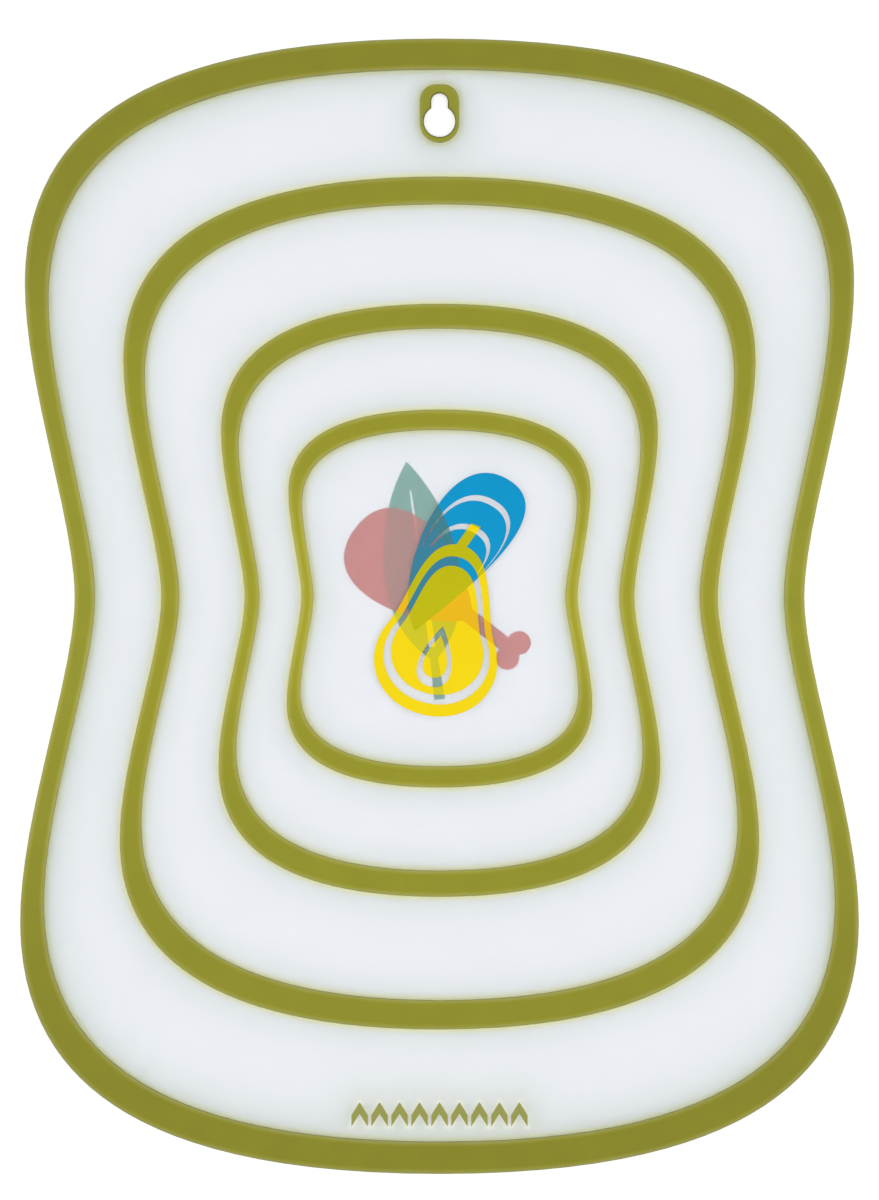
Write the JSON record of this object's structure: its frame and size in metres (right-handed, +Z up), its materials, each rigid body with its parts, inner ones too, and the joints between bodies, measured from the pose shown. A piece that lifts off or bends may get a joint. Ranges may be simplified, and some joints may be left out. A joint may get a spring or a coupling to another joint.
{
  "type": "flexible cutting mat",
  "caption": "Flexible hourglass cutting mat: thin frosted sheet with a soft rim, soft grip rings on both faces, a keyhole grommet to hang it by and a food print in the middle.",
  "frame": {"origin": "under the middle of the bounding box, on the surface that the mat lies on", "axes": "+X across the mat, +Y along it towards the hang hole, +Z up out of its upper face"},
  "size_m": [0.2814, 0.381, 0.0022],
  "materials": {
    "frosted_sheet": "frosted translucent polypropylene with a fine sanded grain",
    "olive_grip": "soft satin elastomer, slightly translucent",
    "yellow_ink": "thin glossy ink",
    "blue_ink": "thin glossy ink",
    "pink_ink": "thin satin ink on the underside",
    "green_ink": "thin satin ink on the underside"
  },
  "bodies": {
    "root": {"cutting_sheet": "frosted_sheet", "rim_grip": "olive_grip", "outer_grip_ring": "olive_grip", "middle_grip_ring": "olive_grip", "inner_grip_ring": "olive_grip", "hang_hole_grommet": "olive_grip", "side_up_marks": "olive_grip", "print_yellow": "yellow_ink", "print_blue": "blue_ink", "print_pink": "pink_ink", "print_green": "green_ink"}
  },
  "joints": []
}
